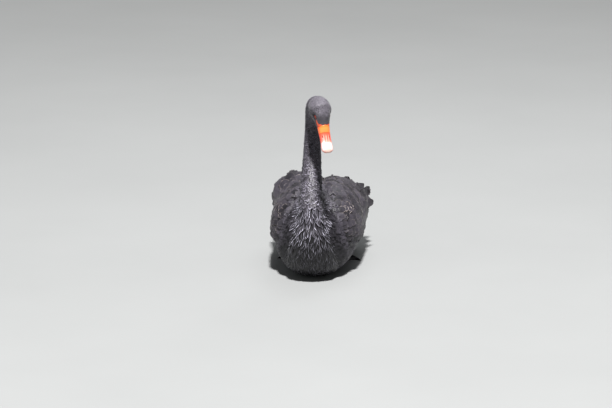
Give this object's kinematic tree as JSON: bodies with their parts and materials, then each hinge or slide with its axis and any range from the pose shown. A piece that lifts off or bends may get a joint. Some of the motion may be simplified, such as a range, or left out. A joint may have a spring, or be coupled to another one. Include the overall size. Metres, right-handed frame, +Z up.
{
  "type": "waterbird",
  "caption": "Life-size black swan at rest, neck raised and head bent down, sitting on its belly with its webbed feet tucked under and curled feathers over its back.",
  "frame": {"origin": "on the floor, in the middle of the flat of the belly, on the trunk's midline", "axes": "+Z up, -Y the way the swan faces, +Y towards the tail, +X the swan's left"},
  "size_m": [0.2742, 0.7739, 0.537],
  "materials": {
    "plumage_black": "soft black feathers with grey-brown edges",
    "primaries_white": "white flight feathers",
    "bill_red": "smooth orange-red horn with a white band and a pale nail",
    "eye_red": "wet, with a red iris",
    "foot_black": "scaly dark grey skin"
  },
  "bodies": {
    "root": {"trunk": "plumage_black", "tail": "plumage_black", "wing_left": "plumage_black", "wing_right": "plumage_black", "neck_lower": "plumage_black", "neck_middle": "plumage_black", "neck_upper": "plumage_black", "head": "plumage_black", "primaries_left": "primaries_white", "primaries_right": "primaries_white", "bill_upper": "bill_red", "bill_lower": "bill_red", "eye_left": "eye_red", "eye_right": "eye_red", "foot_left": "foot_black", "foot_right": "foot_black", "leg_left": "foot_black", "leg_right": "foot_black"}
  },
  "joints": []
}
